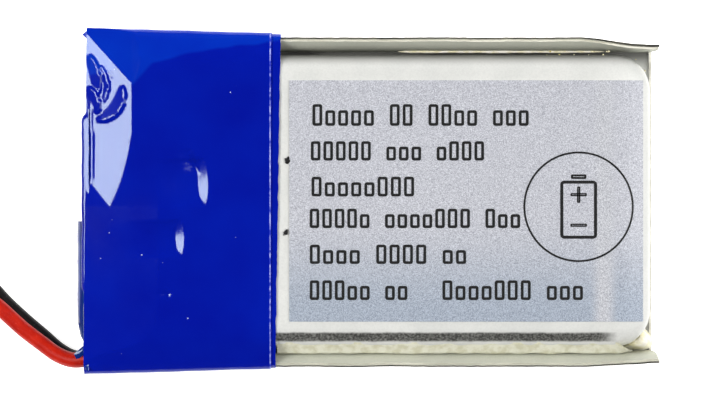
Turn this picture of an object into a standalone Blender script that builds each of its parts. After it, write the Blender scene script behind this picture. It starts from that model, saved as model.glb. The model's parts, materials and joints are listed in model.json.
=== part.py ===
"""A small lithium-polymer pouch cell with its protection board, tape wraps and two leads.

Lengths are in millimetres until to_metres() scales them. +X runs from the terminal end to the
folded end, +Y across the cell and +Z up through its thickness, from the surface it lies on.
"""

import math

import bmesh
import bpy
from mathutils import Vector

MM = 0.001

# Driving dimensions, in millimetres.
LAMINATE = 0.113            # aluminium laminate film
FILM = 0.05                 # polyester tape
GAP = 0.02                  # clearance between neighbouring layers
CUP_LEFT, CUP_RIGHT = -12.35, 14.48
CUP_HALF = 7.49             # middle of the cup's side wall
CUP_TOP = 2.99              # middle of the laminate on the top face
CORNER_RADIUS = 1.8
SHOULDER_RADIUS = 0.95
END_SHOULDER = 2.2          # the folded end rounds off over a longer run
LEDGE_LEFT = -14.45         # the terminal seal ends here
RIM_HEIGHT = 0.55           # middle of the cup's flange
COVER_HEIGHT = 0.197        # middle of the flat half, where the wraps pass under it
COVER_BULGE = 0.12          # how much lower it lies past the wraps
SEAL_HALF = 7.80            # where the side seals fold up
SEAL_LEFT = -12.8           # where they start
SEAL_TOP = 2.30
SEAL_LEAN = 0.48            # how far they lean out at the top
EAR = 0.46                  # how far their corners stand past the folded end
ARC_STEPS = 4
GLUE_HEIGHT, GLUE_RADIUS = 1.35, 0.11

WINDING_LEFT, WINDING_RIGHT = -11.3, 13.4
WINDING_HEIGHT = 1.60
WINDING_HALF = 7.15
ELECTRODE, SEPARATOR = 0.09, 0.025
WINDING_CORE = 0.10
WINDING_TURNS = 2.75

TAB_WIDTH, TAB_THICKNESS = 2.0, 0.07
TAB_Y = {"cathode": 3.1, "anode": -2.9}

BOARD_BOTTOM, BOARD_THICKNESS = 0.72, 0.40
BOARD_LEFT, BOARD_RIGHT = -14.30, -12.55
BOARD_LOW_Y, BOARD_HIGH_Y = -6.0, 6.4
INSULATOR = 0.07
# Parts on the board: name, place across the cell, length across and along it, height, material.
CHIPS = (
    ("mosfet_pair", -0.75, 1.50, 1.50, 0.75, "chip"),
    ("protection_chip", 1.00, 1.30, 1.20, 0.60, "chip"),
    ("filter_capacitor", 4.85, 0.50, 1.00, 0.50, "ceramic"),
    ("supply_resistor", 5.50, 0.50, 1.00, 0.35, "chip"),
    ("sense_resistor", 6.10, 0.50, 1.00, 0.35, "chip"),
)

WRAP_LEFT, WRAP_TOP, WRAP_HALF = -14.68, 3.165, 8.94
WRAP_SLOPE_START = -12.4    # the wrap falls away over the board from here
WRAP_DROP = 1.0
LEAD_SIDE_DROP = 0.5        # share of the drop on the side where the leads come out

LABEL_LENGTH, LABEL_WIDTH, LABEL_THICKNESS = 18.25, 12.45, 0.05
LABEL_LEFT = -4.12

LEAD_RADIUS = 0.40
LEAD_STEP = 0.41            # half the distance between two leads side by side
COIL_CENTRE = Vector((-26.38, -4.46, 0))
COIL_RADIUS = 4.6
COIL_BOTTOM = 0.17          # the tie passes below the turns
TIE_WIDTH, TIE_THICKNESS = 1.5, 0.15

HOUSING = Vector((-22.0, 4.0, 1.5))
HOUSING_SIZE = Vector((4.25, 5.6, 3.0))
CONTACT_PITCH = 1.25
CAVITY = 0.90
CONTACT = 0.78

# Routes of the leads, from the board, out of the wrap and on to the coil.
RED_ROUTE = (
    (-13.05, -6.50, 2.02), (-13.35, -7.20, 1.97), (-14.00, -7.86, 1.88), (-14.75, -8.20, 1.70),
    (-15.42, -8.24, 1.54), (-16.19, -7.96, 1.38), (-16.97, -7.41, 1.26), (-18.00, -6.62, 1.20),
    (-19.03, -5.68, 1.19), (-19.60, -5.20, 1.14), (-20.10, -4.74, 1.05),
)
BLACK_ROUTE = (
    (-13.05, -6.55, 1.18), (-13.35, -7.08, 1.14), (-14.00, -7.80, 1.05), (-14.75, -8.16, 0.87),
    (-15.42, -8.13, 0.68), (-16.19, -7.72, 0.51), (-16.97, -7.05, 0.42), (-18.00, -6.17, 0.41),
    (-19.03, -5.20, 0.41), (-19.90, -4.20, 0.41), (-20.75, -3.12, 0.41),
)
RED_TAIL = ((-21.37, -1.20, 1.46), (-21.37, -0.40, 1.50), (-21.375, 0.40, 1.50), (-21.375, 2.20, 1.50))
BLACK_TAIL = ((-22.35, -0.10, 1.46), (-22.50, 0.35, 1.50), (-22.61, 0.80, 1.50), (-22.625, 2.20, 1.50))


def clear_scene():
    for old in list(bpy.data.objects):
        bpy.data.objects.remove(old, do_unlink=True)


def new_collection(name):
    group = bpy.data.collections.new(name)
    bpy.context.scene.collection.children.link(group)
    return group


def material(name, colour, roughness, metallic=0.0):
    made = bpy.data.materials.new(name)
    made.use_nodes = True
    shader = made.node_tree.nodes["Principled BSDF"]
    shader.inputs["Base Color"].default_value = (*colour, 1.0)
    shader.inputs["Roughness"].default_value = roughness
    shader.inputs["Metallic"].default_value = metallic
    return made


def add_object(name, data, finish, group):
    made = bpy.data.objects.new(name, data)
    data.materials.append(finish)
    group.objects.link(made)
    return made


def to_metres(point):
    return Vector(point) * MM


def smooth(data, angle=40):
    data.shade_smooth()
    data.set_sharp_from_angle(angle=math.radians(angle))


def thicken(made, thickness):
    solid = made.modifiers.new("thickness", "SOLIDIFY")
    solid.thickness = thickness * MM
    solid.offset = 0
    solid.use_even_offset = True


def grid_sheet(name, rows, thickness, finish, group, closed=False):
    """A sheet through rows of points; closed joins the ends of each row into a sleeve."""
    shape = bmesh.new()
    grid = [[shape.verts.new(to_metres(point)) for point in row] for row in rows]
    count = len(rows[0])
    spans = count if closed else count - 1
    for row, following in zip(grid, grid[1:]):
        for i in range(spans):
            j = (i + 1) % count
            shape.faces.new((row[i], row[j], following[j], following[i]))
    bmesh.ops.recalc_face_normals(shape, faces=shape.faces)
    data = bpy.data.meshes.new(name)
    shape.to_mesh(data)
    shape.free()
    smooth(data)
    made = add_object(name, data, finish, group)
    thicken(made, thickness)
    return made


def folded_strip(name, path, middle_y, width, thickness, finish, group):
    """A flat strip that follows path, a list of x and z, and is width wide in Y."""
    rows = [[(x, middle_y + side * width / 2, z) for x, z in path] for side in (-1, 1)]
    return grid_sheet(name, rows, thickness, finish, group)


def block(name, low, high, finish, group, rounding=0.0, hollow=None):
    """A box between two corners; hollow lists the blocks to be cut out of it."""
    low, high = Vector(low), Vector(high)
    shape = bmesh.new()
    bmesh.ops.create_cube(shape, size=1.0)
    bmesh.ops.scale(shape, vec=(high - low) * MM, verts=shape.verts)
    data = bpy.data.meshes.new(name)
    shape.to_mesh(data)
    shape.free()
    made = add_object(name, data, finish, group)
    made.location = (low + high) / 2 * MM
    if rounding:
        bevel = made.modifiers.new("edges", "BEVEL")
        bevel.width = rounding * MM
        bevel.segments = 1
        bevel.limit_method = "ANGLE"
    for cutter in hollow or ():
        cut = made.modifiers.new("cut", "BOOLEAN")
        cut.operation = "DIFFERENCE"
        cut.solver = "EXACT"
        cut.object = cutter
    return made


def cutter_block(name, low, high, finish, group):
    made = block(name, low, high, finish, group)
    made.hide_render = True
    made.display_type = "WIRE"
    return made


def smooth_route(points, per_span=2):
    """Points along a Catmull-Rom curve through the given ones."""
    route = [Vector(point) for point in points]
    padded = [2 * route[0] - route[1]] + route + [2 * route[-1] - route[-2]]
    out = []
    for before, start, end, after in zip(padded, padded[1:], padded[2:], padded[3:]):
        for step in range(per_span):
            t = step / per_span
            out.append(0.5 * (2 * start + (end - before) * t
                              + (2 * before - 5 * start + 4 * end - after) * t ** 2
                              + (3 * start - before - 3 * end + after) * t ** 3))
    return out + [route[-1]]


def tube(name, points, radius, finish, group):
    data = bpy.data.curves.new(name, "CURVE")
    data.dimensions = "3D"
    data.bevel_depth = radius * MM
    data.bevel_resolution = 2
    data.use_fill_caps = True
    spline = data.splines.new("POLY")
    spline.points.add(len(points) - 1)
    for slot, point in zip(spline.points, points):
        slot.co = (*to_metres(point), 1.0)
    return add_object(name, data, finish, group)


# ---------------------------------------------------------------- pouch

def outline(left, right, half, radius, steps=ARC_STEPS):
    """A rounded rectangle, counter-clockwise from its lower right corner, as x and y."""
    points = []
    corners = ((right - radius, -half + radius, -90), (right - radius, half - radius, 0),
               (left + radius, half - radius, 90), (left + radius, -half + radius, 180))
    for centre_x, centre_y, start in corners:
        for i in range(steps + 1):
            angle = math.radians(start + 90 * i / steps)
            points.append((centre_x + radius * math.cos(angle), centre_y + radius * math.sin(angle)))
    return points


def square_outline(left, right, half, inner, steps=ARC_STEPS):
    """A rectangle with one point for each point of the rounded rectangle inside it."""
    points = []
    corners = ((right, -half), (right, half), (left, half), (left, -half))
    for number, corner in enumerate(corners):
        first, last = inner[number * (steps + 1)], inner[number * (steps + 1) + steps]
        along_x_first = number % 2 == 0
        start = (first[0], corner[1]) if along_x_first else (corner[0], first[1])
        end = (corner[0], last[1]) if along_x_first else (last[0], corner[1])
        for i in range(steps + 1):
            t = 2 * i / steps
            a, b, t = (start, corner, t) if t <= 1 else (corner, end, t - 1)
            points.append((a[0] + (b[0] - a[0]) * t, a[1] + (b[1] - a[1]) * t))
    return points


def seal_profile(x, side, base_half):
    """The folded-up side seal above the point x of its fold: rows of points, bottom to top."""
    towards_end = min(1.0, max(0.0, (x - 11.5) / (CUP_RIGHT - 11.5)))
    tuck = (0.34 if side > 0 else 0.10) * towards_end ** 2
    rows = []
    for height in (0.45, 1.0):
        lean = SEAL_LEAN * height - tuck * height
        rows.append((x + EAR * towards_end ** 4 * height, side * (base_half + lean),
                     RIM_HEIGHT + (SEAL_TOP - RIM_HEIGHT) * height))
    return rows


def add_side_seals(shape, edge_points, base_half):
    """Sheets that rise from the fold lines at both sides; edge_points maps a side to its vertices."""
    for side, line in edge_points.items():
        columns = []
        for vert in line:
            risers = seal_profile(vert.co.x / MM, side, base_half)
            columns.append([vert] + [shape.verts.new(to_metres(point)) for point in risers])
        for column, following in zip(columns, columns[1:]):
            for i in range(2):
                shape.faces.new((column[i], following[i], following[i + 1], column[i + 1]))


def pouch_cup(finish, group):
    shape = bmesh.new()
    rings = []
    for i in range(ARC_STEPS + 1):
        angle = math.radians(90 - 90 * i / ARC_STEPS)
        inset = 1 - math.cos(angle)
        height = CUP_TOP - SHOULDER_RADIUS * (1 - math.sin(angle))
        ring = outline(CUP_LEFT + SHOULDER_RADIUS * inset, CUP_RIGHT - END_SHOULDER * inset,
                       CUP_HALF - SHOULDER_RADIUS * inset, CORNER_RADIUS - 0.9 * SHOULDER_RADIUS * inset)
        rings.append([(x, y, height) for x, y in ring])
    rim = outline(CUP_LEFT, CUP_RIGHT, CUP_HALF, CORNER_RADIUS)
    rings.append([(x, y, RIM_HEIGHT) for x, y in rim])
    flange = square_outline(LEDGE_LEFT, CUP_RIGHT + 0.07, SEAL_HALF, rim)
    rings.append([(x, y, RIM_HEIGHT) for x, y in flange])
    grid = [[shape.verts.new(to_metres(point)) for point in ring] for ring in rings]
    shape.faces.new(grid[0])
    count = len(rim)
    for ring, following in zip(grid, grid[1:]):
        for i in range(count):
            j = (i + 1) % count
            shape.faces.new((ring[i], ring[j], following[j], following[i]))
    edges = {}
    for side in (-1, 1):
        line = [vert for vert in grid[-1]
                if abs(vert.co.y / MM - side * SEAL_HALF) < 1e-3 and vert.co.x / MM > SEAL_LEFT - 0.1]
        edges[side] = sorted(line, key=lambda vert: vert.co.x)
    add_side_seals(shape, edges, SEAL_HALF)
    bmesh.ops.recalc_face_normals(shape, faces=shape.faces)
    data = bpy.data.meshes.new("pouch_cup")
    shape.to_mesh(data)
    shape.free()
    smooth(data, 50)
    made = add_object("pouch_cup", data, finish, group)
    thicken(made, LAMINATE)


def pouch_cover(finish, group):
    half = SEAL_HALF + LAMINATE + GAP
    right = CUP_RIGHT + 0.07 + LAMINATE + GAP
    along = (LEDGE_LEFT, SEAL_LEFT, -8.0, -4.6, -4.1, 2.0, 7.0, 11.5, 13.2, right)
    across = (-half, -7.2, 0.0, 7.2, half)
    shape = bmesh.new()
    heights = [COVER_HEIGHT if x < -4.5 else COVER_HEIGHT - COVER_BULGE for x in along]
    grid = [[shape.verts.new(to_metres((x, y, z))) for y in across] for x, z in zip(along, heights)]
    for row, following in zip(grid, grid[1:]):
        for i in range(len(across) - 1):
            shape.faces.new((row[i], row[i + 1], following[i + 1], following[i]))
    add_side_seals(shape, {-1: [row[0] for row in grid[1:]], 1: [row[-1] for row in grid[1:]]}, half)
    fold = [shape.verts.new(vert.co + to_metres((0.01, 0, RIM_HEIGHT))) for vert in grid[-1][1:-1]]
    for i in range(len(fold) - 1):
        shape.faces.new((grid[-1][i + 1], grid[-1][i + 2], fold[i + 1], fold[i]))
    bmesh.ops.recalc_face_normals(shape, faces=shape.faces)
    data = bpy.data.meshes.new("pouch_cover")
    shape.to_mesh(data)
    shape.free()
    made = add_object("pouch_cover", data, finish, group)
    thicken(made, LAMINATE)


def seal_glue(name, side, start, end, finish, group):
    """A thin bead of glue in the groove between the cup and its folded seal."""
    count = 8
    middle_y = side * (CUP_HALF + 0.25)
    line = [(start + (end - start) * i / count, middle_y, GLUE_HEIGHT) for i in range(count + 1)]
    tube(name, line, GLUE_RADIUS, finish, group)


# ---------------------------------------------------------------- winding

def wound_sheet(name, offset, thickness, finish, group):
    """One layer of the flattened roll: a spiral of half circles joined by straight runs."""
    pitch = 2 * (ELECTRODE + SEPARATOR) + 4 * GAP
    arc_steps = 6
    half_turns = int(WINDING_TURNS * 2)
    widest = WINDING_CORE + pitch * (WINDING_TURNS + 1)
    spiral = []
    for number in range(half_turns):
        side = 1 if number % 2 == 0 else -1
        for i in range(arc_steps + 1):
            turned = number * 180 + 180 * i / arc_steps
            angle = math.radians(turned - 90)
            radius = WINDING_CORE + offset + pitch * turned / 360
            spiral.append((side * (WINDING_HALF - widest) + radius * math.cos(angle),
                           WINDING_HEIGHT + radius * math.sin(angle)))
    rows = [[(x, y, z) for y, z in spiral] for x in (WINDING_LEFT, WINDING_RIGHT)]
    grid_sheet(name, rows, thickness, finish, group)


def winding(finishes, group):
    layers = (("separator_inner", SEPARATOR, "separator"), ("cathode_sheet", ELECTRODE, "cathode"),
              ("separator_outer", SEPARATOR, "separator"), ("anode_sheet", ELECTRODE, "anode"))
    offset = 0.0
    for name, thickness, slot in layers:
        offset += thickness / 2
        wound_sheet(name, offset, thickness, finishes[slot], group)
        offset += thickness / 2 + GAP
    top = WINDING_HEIGHT + 1.255
    block("winding_tape", (2.0, -4.0, top), (10.0, 4.0, top + 0.03), finishes["film_amber"], group)


# ---------------------------------------------------------------- terminals and board

def electrode_tab(name, middle_y, finish, film, group):
    seal_height = (COVER_HEIGHT + RIM_HEIGHT) / 2
    over_board = BOARD_BOTTOM + BOARD_THICKNESS + 0.23
    path = ((WINDING_LEFT - 0.05, WINDING_HEIGHT), (-11.75, 1.40), (-12.05, seal_height),
            (-14.55, seal_height), (-14.55, over_board), (-12.95, over_board))
    folded_strip(f"{name}_tab", path, middle_y, TAB_WIDTH, TAB_THICKNESS, finish, group)
    reach = TAB_WIDTH / 2 + 0.4
    slot = cutter_block(f"{name}_slot", (-20, middle_y - TAB_WIDTH / 2 - GAP, seal_height - 0.05),
                        (-10, middle_y + TAB_WIDTH / 2 + GAP, seal_height + 0.05), film, CUTTERS)
    block(f"{name}_tab_film", (-14.10, middle_y - reach, seal_height - 0.1),
          (-12.60, middle_y + reach, seal_height + 0.1), film, group, hollow=[slot])


def protection_board(finishes, group):
    top = BOARD_BOTTOM + BOARD_THICKNESS
    block("board_insulator", (BOARD_LEFT + 0.05, BOARD_LOW_Y, BOARD_BOTTOM - INSULATOR - GAP),
          (BOARD_RIGHT - 0.05, BOARD_HIGH_Y, BOARD_BOTTOM - GAP), finishes["film_amber"], group)
    block("pcm_board", (BOARD_LEFT, BOARD_LOW_Y, BOARD_BOTTOM), (BOARD_RIGHT, BOARD_HIGH_Y, top),
          finishes["board"], group)
    top += GAP
    middle_x = (BOARD_LEFT + BOARD_RIGHT) / 2
    for name, y, length_y, length_x, height, slot in CHIPS:
        half_x, half_y = length_x / 2, length_y / 2
        block(name, (middle_x - half_x, y - half_y, top), (middle_x + half_x, y + half_y, top + height),
              finishes[slot], group, rounding=0.04)
    for name, y in (("weld_plate_positive", TAB_Y["cathode"]), ("weld_plate_negative", TAB_Y["anode"])):
        block(name, (-14.05, y - 1.1, top), (-12.70, y + 1.1, top + 0.14), finishes["nickel"], group)


def lead_joint(name, y, finish, copper, lead_end, group):
    """The bared strands of a lead, and the dome of solder that holds them on the board."""
    top = BOARD_BOTTOM + BOARD_THICKNESS + GAP
    shape = bmesh.new()
    bmesh.ops.create_uvsphere(shape, u_segments=12, v_segments=6, radius=0.42 * MM)
    everything = shape.verts[:] + shape.edges[:] + shape.faces[:]
    bmesh.ops.bisect_plane(shape, geom=everything, plane_co=(0, 0, 0), plane_no=(0, 0, -1),
                           clear_outer=True)
    bmesh.ops.holes_fill(shape, edges=[edge for edge in shape.edges if edge.is_boundary])
    data = bpy.data.meshes.new(f"solder_{name}")
    shape.to_mesh(data)
    shape.free()
    made = add_object(f"solder_{name}", data, finish, group)
    made.location = to_metres((-13.05, y, top))
    start = Vector(lead_end)
    strands = [start + Vector((0, 0.03, 0)), start + Vector((0, 0.12, 0.02)),
               Vector((-13.05, y - 0.25, top + 0.55)), Vector((-13.05, y + 0.2, top + 0.60))]
    tube(f"{name}_strands", strands, 0.13, copper, group)


# ---------------------------------------------------------------- tape and label

def wrap_section(x, inward):
    """The wrap's outline across the cell at x; inward is its distance inside the outer wrap."""
    fall = min(1.0, max(0.0, (WRAP_SLOPE_START - x) / (WRAP_SLOPE_START - WRAP_LEFT)))
    half = ((8.10, 0.025), (8.32, 0.16), (8.55, 0.75), (8.85, 1.60), (WRAP_HALF, 2.28), (8.15, 2.72),
            (7.35, 3.05), (6.40, WRAP_TOP))
    loop = []
    for side, corner in ((1, half), (-1, tuple(reversed(half)))):
        drop = WRAP_DROP * fall * (1.0 if side > 0 else LEAD_SIDE_DROP)
        for y, z in corner:
            share = max(0.0, (z - 1.5) / (WRAP_TOP - 1.5))
            loop.append((side * y, z - drop * share))
    return inset_loop(loop, inward)


def inset_loop(loop, inward):
    """A counter-clockwise closed outline moved inwards by a constant distance."""
    moved = []
    for i, point in enumerate(loop):
        here = Vector(point)
        before = (here - Vector(loop[i - 1])).normalized()
        after = (Vector(loop[(i + 1) % len(loop)]) - here).normalized()
        normal = Vector((-before.y - after.y, before.x + after.x)).normalized()
        spread = max(0.5, normal.dot(Vector((-before.y, before.x))))
        moved.append(here + normal * inward / spread)
    return moved


def tape_wrap(name, left, right, inward, finish, group):
    start = WRAP_SLOPE_START
    stations = [left, (left + start) / 2, start, start + 0.8, -8.5, right]
    rows = [[(x, y, z) for y, z in wrap_section(x, inward)] for x in stations]
    grid_sheet(name, rows, FILM, finish, group, closed=True)


def end_flap(finish, group):
    """The tape's last turn, folded down over the open end of the wrap."""
    path = ((-14.78, 1.98), (-15.00, 1.70), (-15.122, 1.20), (-15.08, 0.65), (-14.92, 0.20))
    folded_strip("tape_end_flap", path, -4.2, 6.2, FILM, finish, group)


def label(finish, group):
    """The label lies on the top face and bends down with it at the folded end."""
    top = CUP_TOP + LAMINATE / 2 + GAP + LABEL_THICKNESS / 2
    knee = CUP_RIGHT + LAMINATE / 2 - END_SHOULDER
    path = []
    for i in range(9):
        x = LABEL_LEFT if i == 0 else knee + (LABEL_LEFT + LABEL_LENGTH - knee) * (i - 1) / 7
        reach = max(0.0, (x - knee) / (END_SHOULDER + 0.02))
        path.append((x, top - (SHOULDER_RADIUS + 0.02) * (1 - math.sqrt(1 - reach ** 2))))
    folded_strip("label", path, 0.0, LABEL_WIDTH, LABEL_THICKNESS, finish, group)


# ---------------------------------------------------------------- leads and connector

def lead_coil(finish, group):
    """The outer shape of the two leads' turns, as a turned ring."""
    inner, outer = COIL_RADIUS - 2 * LEAD_STEP - GAP, COIL_RADIUS + 2 * LEAD_STEP + GAP
    bottom, top = COIL_BOTTOM, COIL_BOTTOM + 4 * LEAD_STEP + GAP
    chamfer = 0.15
    profile = ((inner + chamfer, top), (outer - chamfer, top), (outer, top - chamfer),
               (outer, bottom + chamfer), (outer - chamfer, bottom), (inner + chamfer, bottom),
               (inner, bottom + chamfer), (inner, top - chamfer))
    shape = bmesh.new()
    verts = [shape.verts.new(to_metres((x, 0, z))) for x, z in profile]
    for i, vert in enumerate(verts):
        shape.edges.new((vert, verts[(i + 1) % len(verts)]))
    data = bpy.data.meshes.new("lead_coil")
    shape.to_mesh(data)
    shape.free()
    made = add_object("lead_coil", data, finish, group)
    made.location = COIL_CENTRE * MM
    turn = made.modifiers.new("turn", "SCREW")
    turn.steps = turn.render_steps = 32
    turn.use_merge_vertices = True
    turn.merge_threshold = 1e-6
    turn.use_smooth_shade = False


def lead_tie(finish, group):
    half = TIE_THICKNESS / 2
    near = COIL_CENTRE.x - (COIL_RADIUS - 2 * LEAD_STEP - 0.12) + half
    far = COIL_CENTRE.x - (COIL_RADIUS + 2 * LEAD_STEP + 2 * GAP) - half
    low, high = half, COIL_BOTTOM + 4 * LEAD_STEP + 2 * GAP + half
    loop = ((far, low), (near, low), (near, high), (far, high))
    rows = [[(x, COIL_CENTRE.y + side * TIE_WIDTH / 2, z) for x, z in loop] for side in (-1, 1)]
    grid_sheet("lead_tie", rows, TIE_THICKNESS, finish, group, closed=True)


def connector(finishes, group):
    low, high = HOUSING - HOUSING_SIZE / 2, HOUSING + HOUSING_SIZE / 2
    cuts = []
    for sign, name in ((1, "positive"), (-1, "negative")):
        x = HOUSING.x + sign * CONTACT_PITCH / 2
        half = CAVITY / 2
        cuts.append(cutter_block(f"cavity_{name}", (x - half, low.y - 1, HOUSING.z - half),
                                 (x + half, high.y + 1, HOUSING.z + half), finishes["housing"], CUTTERS))
        bore = cutter_block(f"bore_{name}", (x - 0.25, 4.4, HOUSING.z - 0.25),
                            (x + 0.25, 9.0, HOUSING.z + 0.25), finishes["nickel"], CUTTERS)
        half = CONTACT / 2
        block(f"contact_{name}", (x - half, 2.45, HOUSING.z - half), (x + half, 6.55, HOUSING.z + half),
              finishes["nickel"], group, hollow=[bore])
    for sign in (-1, 1):
        x = HOUSING.x + sign * HOUSING_SIZE.x / 2
        name = "left" if sign < 0 else "right"
        inner = x - sign * 0.35
        cuts.append(cutter_block(f"side_step_{name}", (min(x, inner), 3.4, HOUSING.z + 0.3),
                                 (max(x, inner), 9.0, HOUSING.z + 0.95), finishes["housing"], CUTTERS))
    cuts.append(cutter_block("latch_window", (HOUSING.x - 1.0, 2.6, high.z - 0.5),
                             (HOUSING.x + 1.0, 3.9, high.z + 1), finishes["housing"], CUTTERS))
    block("connector_housing", low, high, finishes["housing"], group, hollow=cuts)


def main():
    cell = new_collection("pouch_battery_cell")
    finishes = {
        "laminate": material("laminate", (0.78, 0.78, 0.75), 0.32, 0.8),
        "label": material("label", (0.52, 0.53, 0.56), 0.45, 0.3),
        "tape": material("tape", (0.0, 0.02, 0.42), 0.2),
        "cathode": material("cathode", (0.05, 0.05, 0.055), 0.7),
        "anode": material("anode", (0.12, 0.10, 0.09), 0.7),
        "separator": material("separator", (0.88, 0.88, 0.86), 0.5),
        "film_amber": material("film_amber", (0.55, 0.28, 0.06), 0.3),
        "aluminium": material("aluminium", (0.80, 0.81, 0.82), 0.35, 1.0),
        "nickel": material("nickel", (0.70, 0.68, 0.64), 0.3, 1.0),
        "tab_film": material("tab_film", (0.10, 0.10, 0.10), 0.4),
        "board": material("board", (0.02, 0.18, 0.06), 0.4),
        "chip": material("chip", (0.03, 0.03, 0.03), 0.5),
        "ceramic": material("ceramic", (0.45, 0.33, 0.22), 0.5),
        "solder": material("solder", (0.70, 0.71, 0.72), 0.25, 1.0),
        "copper": material("copper", (0.72, 0.40, 0.25), 0.3, 1.0),
        "glue": material("glue", (0.75, 0.66, 0.36), 0.3),
        "lead_red": material("lead_red", (0.62, 0.03, 0.01), 0.4),
        "lead_black": material("lead_black", (0.015, 0.014, 0.013), 0.4),
        "tie": material("tie", (0.80, 0.80, 0.78), 0.4),
        "housing": material("housing", (0.85, 0.84, 0.78), 0.4),
    }
    pouch_cup(finishes["laminate"], cell)
    pouch_cover(finishes["laminate"], cell)
    seal_glue("seal_glue_upper", 1, 1.5, 12.2, finishes["glue"], cell)
    seal_glue("seal_glue_lower", -1, 4.0, 12.2, finishes["glue"], cell)
    winding(finishes, cell)
    electrode_tab("cathode", TAB_Y["cathode"], finishes["aluminium"], finishes["tab_film"], cell)
    electrode_tab("anode", TAB_Y["anode"], finishes["nickel"], finishes["tab_film"], cell)
    protection_board(finishes, cell)
    lead_joint("positive", -4.55, finishes["solder"], finishes["copper"], RED_ROUTE[0], cell)
    lead_joint("negative", -5.50, finishes["solder"], finishes["copper"], BLACK_ROUTE[0], cell)
    tape_wrap("inner_tape_wrap", -14.55, -4.70, FILM + GAP, finishes["tape"], cell)
    tape_wrap("outer_tape_wrap", WRAP_LEFT, -5.05, 0.0, finishes["tape"], cell)
    end_flap(finishes["tape"], cell)
    label(finishes["label"], cell)
    tube("red_lead", smooth_route(RED_ROUTE), LEAD_RADIUS, finishes["lead_red"], cell)
    tube("black_lead", smooth_route(BLACK_ROUTE), LEAD_RADIUS, finishes["lead_black"], cell)
    lead_coil(finishes["lead_red"], cell)
    lead_tie(finishes["tie"], cell)
    tube("red_lead_tail", smooth_route(RED_TAIL), LEAD_RADIUS, finishes["lead_red"], cell)
    tube("black_lead_tail", smooth_route(BLACK_TAIL), LEAD_RADIUS, finishes["lead_black"], cell)
    connector(finishes, cell)


clear_scene()
CUTTERS = new_collection("cutters")
main()
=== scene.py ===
"""The looks of a small lithium-polymer pouch cell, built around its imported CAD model.

Shapes are worked out in millimetres and scaled to metres by MM when a mesh is made.
"""

import json
from math import atan2, copysign, cos, exp, hypot, pi, radians, sin, sqrt, tau

import bmesh
import bpy
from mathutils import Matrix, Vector, noise

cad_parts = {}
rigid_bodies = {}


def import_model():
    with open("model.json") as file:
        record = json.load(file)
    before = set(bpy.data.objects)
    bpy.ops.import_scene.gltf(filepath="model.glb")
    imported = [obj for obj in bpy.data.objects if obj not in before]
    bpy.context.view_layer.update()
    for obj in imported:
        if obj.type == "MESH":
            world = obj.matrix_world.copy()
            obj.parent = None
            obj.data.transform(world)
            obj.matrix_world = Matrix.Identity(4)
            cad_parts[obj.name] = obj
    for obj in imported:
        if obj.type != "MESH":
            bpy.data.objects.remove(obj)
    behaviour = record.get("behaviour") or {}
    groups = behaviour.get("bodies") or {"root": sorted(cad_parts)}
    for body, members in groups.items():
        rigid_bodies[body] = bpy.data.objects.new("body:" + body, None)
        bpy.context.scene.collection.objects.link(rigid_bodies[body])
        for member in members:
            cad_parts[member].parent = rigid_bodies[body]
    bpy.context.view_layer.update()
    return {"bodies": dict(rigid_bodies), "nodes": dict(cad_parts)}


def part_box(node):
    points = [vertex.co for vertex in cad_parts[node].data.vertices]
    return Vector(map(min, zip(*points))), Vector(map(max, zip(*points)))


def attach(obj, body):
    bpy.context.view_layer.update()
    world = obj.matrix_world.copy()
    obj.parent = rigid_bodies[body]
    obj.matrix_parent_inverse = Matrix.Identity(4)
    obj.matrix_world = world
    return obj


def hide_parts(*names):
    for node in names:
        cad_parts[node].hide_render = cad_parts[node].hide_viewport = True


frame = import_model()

MM = 0.001
BODY = next(iter(frame["bodies"]))


def node_box(name):
    """A CAD node's lowest and highest corner, in millimetres."""
    low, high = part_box(name)
    return Vector(low) / MM, Vector(high) / MM


CUP_HIGH = node_box("pouch_cup")[1]
WRAP_LOW, WRAP_HIGH = node_box("outer_tape_wrap")
LABEL_LOW, LABEL_HIGH = node_box("label")
COIL_LOW, COIL_HIGH = node_box("lead_coil")

# ---- dimensions, in millimetres

LAMINATE = 0.113
FILM = 0.05
CUP_LEFT, CUP_RIGHT = -12.35, 14.48
CUP_HALF = 7.49
CUP_TOP = CUP_HIGH.z - LAMINATE / 2
SHOULDER = 0.95
END_SHOULDER = 2.2
CORNER = 1.8
RIM_HEIGHT = 0.55
WEB_HALF = 7.80
COVER_HALF = WEB_HALF + LAMINATE + 0.02
SEAL_LEFT = -12.8
SEAL_TOP = 2.30
SEAL_LEAN = 0.48
TUCK_START = 10.8  # the seals lean less and less from here
LEDGE_LEFT = -14.45
FOLD_END = 14.60
FOLD_START, FOLD_RADIUS = 13.9, 0.72

LEAD_RADIUS = 0.40
LEAD_STEP = 0.41
COIL_CENTRE = (COIL_LOW + COIL_HIGH) / 2
COIL_RADIUS = 4.6
COIL_BOTTOM = COIL_LOW.z
COIL_LIFT = 0.82
COIL_START, COIL_CLIMB, COIL_LEAVE = 45, (290, 364), (620, 690)  # degrees round it

VIEW_WIDTH = 37.11  # what the picture takes in, across, at the label's height
VIEW_CENTRE = Vector((-0.47, -0.08))
CAMERA_HEIGHT = 250.0
LABEL_HALF = 0.025  # half the label's thickness


# ---- small helpers

def clamp(value, low=0.0, high=1.0):
    return max(low, min(high, value))


def smoothstep(low, high, value):
    t = clamp((value - low) / (high - low))
    return t * t * (3 - 2 * t)


def around(x, y, radius, angle):
    """A point on a circle about x, y; the angle is in radians."""
    return x + radius * cos(angle), y + radius * sin(angle)


def ripple(x, y, scale, seed=0.0):
    """Smooth noise between about -1 and 1; scale is the size of its lumps."""
    return noise.noise(Vector((x / scale, y / scale, seed)))


def link(made):
    bpy.context.scene.collection.objects.link(made)
    return made


def face_outwards(data):
    shape = bmesh.new()
    shape.from_mesh(data)
    bmesh.ops.recalc_face_normals(shape, faces=shape.faces)
    shape.to_mesh(data)
    shape.free()


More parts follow.
